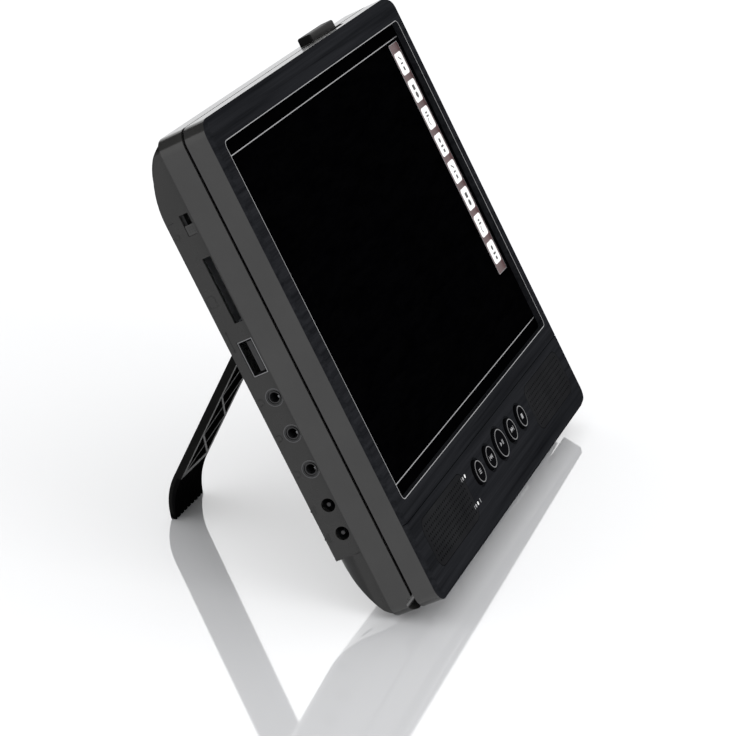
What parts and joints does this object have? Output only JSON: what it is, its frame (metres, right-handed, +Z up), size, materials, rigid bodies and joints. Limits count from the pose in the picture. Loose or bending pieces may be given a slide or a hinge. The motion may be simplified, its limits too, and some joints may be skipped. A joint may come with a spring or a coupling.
{
  "type": "portable disc player",
  "caption": "Portable disc player with a flat screen above round buttons and speaker grilles, a hinged display half over the disc well, side ports and a fold-out rear kickstand.",
  "frame": {"origin": "on the floor plane, midway across the width and midway between the front-most and rear-most points of the standing player", "axes": "+X across the screen to the viewer's right, -Y the way the screen faces, +Z up"},
  "size_m": [0.213, 0.1246, 0.1706],
  "materials": {
    "casing": "satin dark grey",
    "bezel": "glossy dark charcoal with fine hairlines",
    "screen": "polished black",
    "button": "glossy black",
    "grille": "fine perforation",
    "stand": "satin dark grey",
    "rubber": "matt",
    "steel": "bright",
    "motor": "satin",
    "jack": "matt black",
    "board": "solder-masked",
    "display_glass": "polished",
    "backlight": "frosted white",
    "cone": "matt paper",
    "optic": "coated"
  },
  "bodies": {
    "player": {"deck_casing": "casing", "back_cover": "casing", "case_screws": "steel", "standing_feet": "rubber", "stand_pin": "steel", "latch_spring": "steel", "port_board": "board", "usb_port": "steel", "usb_tongue": "jack", "card_slot": "motor", "headphone_jack_1": "jack", "headphone_jack_2": "jack", "video_jack": "jack", "power_jack": "jack", "battery_jack": "jack", "switch_housing": "jack", "traverse_chassis": "jack", "drive_bushes": "rubber", "drive_screws": "steel", "guide_rods": "steel", "spindle_motor": "motor", "sled_motor": "motor", "main_board": "board", "board_components": "jack", "board_screws": "steel", "battery_cells": "motor"},
    "display_unit": {"front_casing": "casing", "screen_bezel": "bezel", "screen_lens": "screen", "lcd_panel": "display_glass", "backlight_unit": "backlight", "control_bezel": "bezel", "indicator_lights": "backlight", "speaker_grille_left": "grille", "speaker_left": "steel", "speaker_cone_left": "cone", "speaker_grille_right": "grille", "speaker_right": "steel", "speaker_cone_right": "cone", "display_board": "board", "tact_switches": "jack", "display_screws": "steel", "latch_catch": "jack", "display_hinge_pins": "steel"},
    "menu_button": {"button_menu": "button"},
    "back_button": {"button_back": "button"},
    "play_button": {"button_play": "button"},
    "forward_button": {"button_forward": "button"},
    "stop_button": {"button_stop": "button"},
    "open_button": {"release_button": "casing"},
    "power_knob": {"power_switch": "casing"},
    "stand": {"kickstand": "stand", "stand_foot": "rubber"},
    "turntable_unit": {"turntable": "jack", "hub_fingers": "jack"},
    "pickup": {"pickup_sled": "jack", "lens_holder": "jack", "objective_lens": "optic"},
    "screw_drive": {"lead_screw": "steel"}
  },
  "joints": [
    {"name": "display_hinge", "type": "hinge", "parent": "player", "child": "display_unit", "pos_m": [0, -0.05259, 0.00749], "axis": [1, 0, 0], "range_deg": [0, 55]},
    {"name": "stand_hinge", "type": "hinge", "parent": "player", "child": "stand", "pos_m": [-0.0271, 0.01818, 0.10142], "axis": [-1, 0, 0], "range_deg": [0, 52.91]},
    {"name": "open_press", "type": "slide", "parent": "player", "child": "open_button", "axis": [0, -0.4617, -0.887], "range_m": [0, 0.002], "stiffness_N_per_m": 400, "springref_m": -0.001},
    {"name": "power_slide", "type": "slide", "parent": "player", "child": "power_knob", "axis": [0, 0.4617, 0.887], "range_m": [0, 0.0039]},
    {"name": "turntable_spin", "type": "hinge", "parent": "player", "child": "turntable_unit", "pos_m": [0.006, -0.00792, 0.08659], "axis": [0, -0.887, 0.4617], "continuous": true},
    {"name": "lead_screw_turn", "type": "hinge", "parent": "player", "child": "screw_drive", "pos_m": [0.031, -0.00178, 0.07889], "axis": [0, -0.4617, -0.887], "range_deg": [0, 3781]},
    {"name": "pickup_slide", "type": "slide", "parent": "player", "child": "pickup", "axis": [0, -0.4617, -0.887], "range_m": [0, 0.0315]},
    {"name": "menu_press", "type": "slide", "parent": "display_unit", "child": "menu_button", "axis": [0, 0.887, -0.4617], "range_m": [0, 0.0005], "stiffness_N_per_m": 400, "springref_m": -0.0005},
    {"name": "back_press", "type": "slide", "parent": "display_unit", "child": "back_button", "axis": [0, 0.887, -0.4617], "range_m": [0, 0.0005], "stiffness_N_per_m": 400, "springref_m": -0.0005},
    {"name": "play_press", "type": "slide", "parent": "display_unit", "child": "play_button", "axis": [0, 0.887, -0.4617], "range_m": [0, 0.0005], "stiffness_N_per_m": 400, "springref_m": -0.0005},
    {"name": "forward_press", "type": "slide", "parent": "display_unit", "child": "forward_button", "axis": [0, 0.887, -0.4617], "range_m": [0, 0.0005], "stiffness_N_per_m": 400, "springref_m": -0.0005},
    {"name": "stop_press", "type": "slide", "parent": "display_unit", "child": "stop_button", "axis": [0, 0.887, -0.4617], "range_m": [0, 0.0005], "stiffness_N_per_m": 400, "springref_m": -0.0005}
  ],
  "couplings": [
    {"joint": "lead_screw_turn", "follows": "pickup_slide", "rad_per_m": 2094.4}
  ]
}
